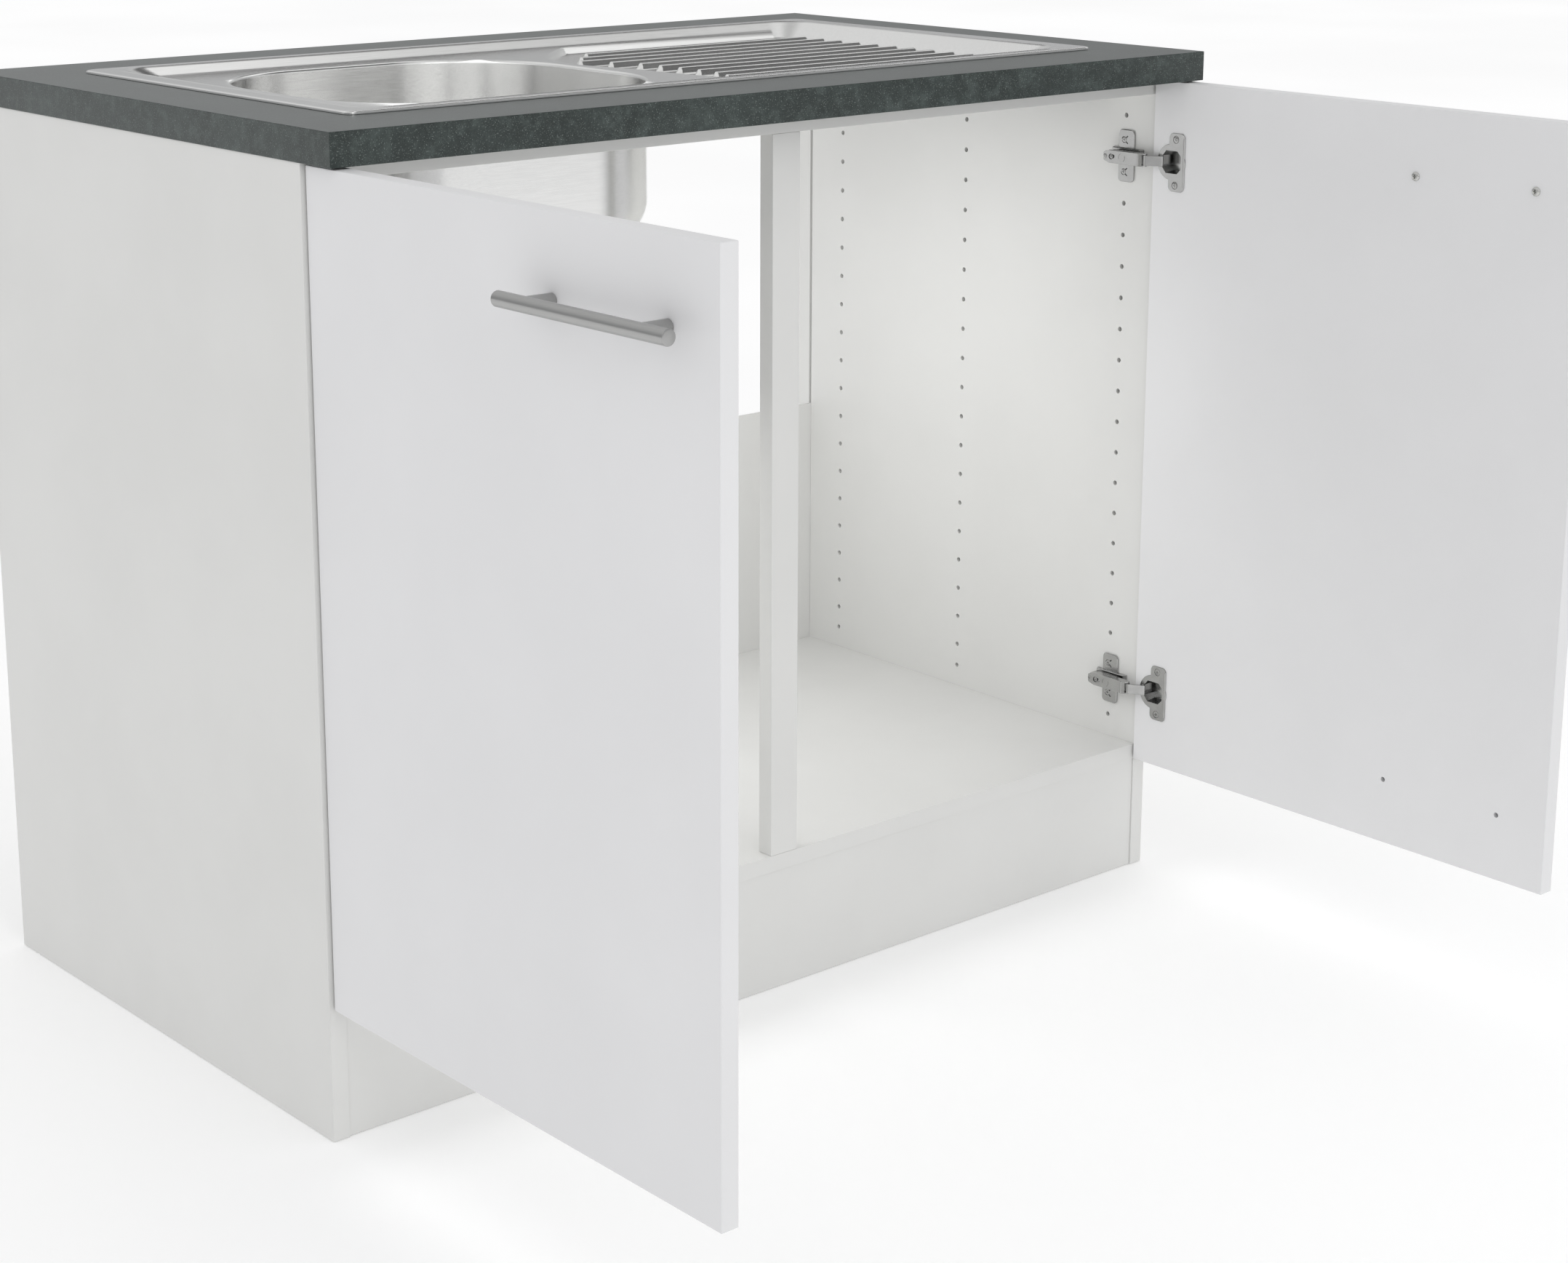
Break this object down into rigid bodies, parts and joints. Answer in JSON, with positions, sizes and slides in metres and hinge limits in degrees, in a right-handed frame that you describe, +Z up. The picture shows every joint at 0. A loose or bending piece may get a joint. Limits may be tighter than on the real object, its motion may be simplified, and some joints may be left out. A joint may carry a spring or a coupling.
{
  "type": "kitchen sink unit",
  "caption": "White base cabinet with two hinged doors, concealed hinges, bar handles, a grey stone-look worktop and an inset stainless sink with bowl and ribbed drainer.",
  "frame": {"origin": "on the floor, at the middle of the plinth board's underside", "axes": "+X to the right seen from the front, +Y from the front to the wall, +Z up"},
  "size_m": [1.0526, 1.053, 0.851],
  "materials": {
    "white_board": "white melamine-faced chipboard, satin",
    "door_white": "cool white melamine door, matt",
    "stone_laminate": "dark grey-green stone-look laminate, fine speckle, matt",
    "brushed_steel": "fine brushed stainless steel",
    "handle_steel": "brushed stainless bar",
    "hinge_nickel": "nickel-plated pressed steel, satin",
    "zinc_steel": "bright zinc-plated steel",
    "black_rubber": "soft dark seal",
    "waste_plastic": "white moulded waste fitting"
  },
  "bodies": {
    "cabinet": {"left_side": "white_board", "right_side": "white_board", "bottom_board": "white_board", "plinth": "white_board", "front_rail": "white_board", "rear_rail": "white_board", "centre_post": "white_board", "back_panel": "white_board", "worktop": "stone_laminate", "sink": "brushed_steel", "sink_seal": "black_rubber", "sink_clamp_1": "zinc_steel", "sink_clamp_2": "zinc_steel", "sink_clamp_3": "zinc_steel", "sink_clamp_4": "zinc_steel", "strainer_body": "brushed_steel", "drain_gasket": "black_rubber", "ring_nut": "waste_plastic", "outlet_tail": "waste_plastic", "overflow_cover": "brushed_steel", "overflow_elbow": "waste_plastic", "overflow_hose": "waste_plastic", "left_lower_hinge_plate": "hinge_nickel", "left_lower_hinge_arm": "hinge_nickel", "left_lower_arm_pin": "zinc_steel", "left_upper_hinge_plate": "hinge_nickel", "left_upper_hinge_arm": "hinge_nickel", "left_upper_arm_pin": "zinc_steel", "right_lower_hinge_plate": "hinge_nickel", "right_lower_hinge_arm": "hinge_nickel", "right_lower_arm_pin": "zinc_steel", "right_upper_hinge_plate": "hinge_nickel", "right_upper_hinge_arm": "hinge_nickel", "right_upper_arm_pin": "zinc_steel"},
    "basket": {"strainer_basket": "brushed_steel"},
    "left_lever": {"left_lower_hinge_lever": "hinge_nickel", "left_upper_hinge_lever": "hinge_nickel"},
    "left_leaf": {"left_door": "door_white", "left_handle_bar": "handle_steel", "left_handle_leg_inner": "handle_steel", "left_handle_screw_inner": "zinc_steel", "left_handle_leg_outer": "handle_steel", "left_handle_screw_outer": "zinc_steel", "left_lower_hinge_cup": "hinge_nickel", "left_lower_cup_pin": "zinc_steel", "left_upper_hinge_cup": "hinge_nickel", "left_upper_cup_pin": "zinc_steel"},
    "right_lever": {"right_lower_hinge_lever": "hinge_nickel", "right_upper_hinge_lever": "hinge_nickel"},
    "right_leaf": {"right_door": "door_white", "right_handle_bar": "handle_steel", "right_handle_leg_inner": "handle_steel", "right_handle_screw_inner": "zinc_steel", "right_handle_leg_outer": "handle_steel", "right_handle_screw_outer": "zinc_steel", "right_lower_hinge_cup": "hinge_nickel", "right_lower_cup_pin": "zinc_steel", "right_upper_hinge_cup": "hinge_nickel", "right_upper_cup_pin": "zinc_steel"}
  },
  "joints": [
    {"name": "left_lever_turn", "type": "hinge", "parent": "cabinet", "child": "left_lever", "pos_m": [-0.47048, -0.00916, 0.468], "axis": [0, 0, 1], "range_deg": [-45, 5]},
    {"name": "left_door_swing", "type": "hinge", "parent": "left_lever", "child": "left_leaf", "pos_m": [-0.4798, -0.0225, 0.468], "axis": [0, 0, 1], "range_deg": [-15.1, 135.1]},
    {"name": "right_lever_turn", "type": "hinge", "parent": "cabinet", "child": "right_lever", "pos_m": [0.47048, -0.00916, 0.468], "axis": [0, 0, -1], "range_deg": [-45, 5]},
    {"name": "right_door_swing", "type": "hinge", "parent": "right_lever", "child": "right_leaf", "pos_m": [0.4798, -0.0225, 0.468], "axis": [0, 0, -1], "range_deg": [-15.1, 135.1]},
    {"name": "basket_lift", "type": "slide", "parent": "cabinet", "child": "basket", "axis": [0, 0, 1], "range_m": [0, 0.05]}
  ],
  "couplings": [
    {"joint": "left_door_swing", "follows": "left_lever_turn", "ratio": -3},
    {"joint": "right_door_swing", "follows": "right_lever_turn", "ratio": -3}
  ]
}
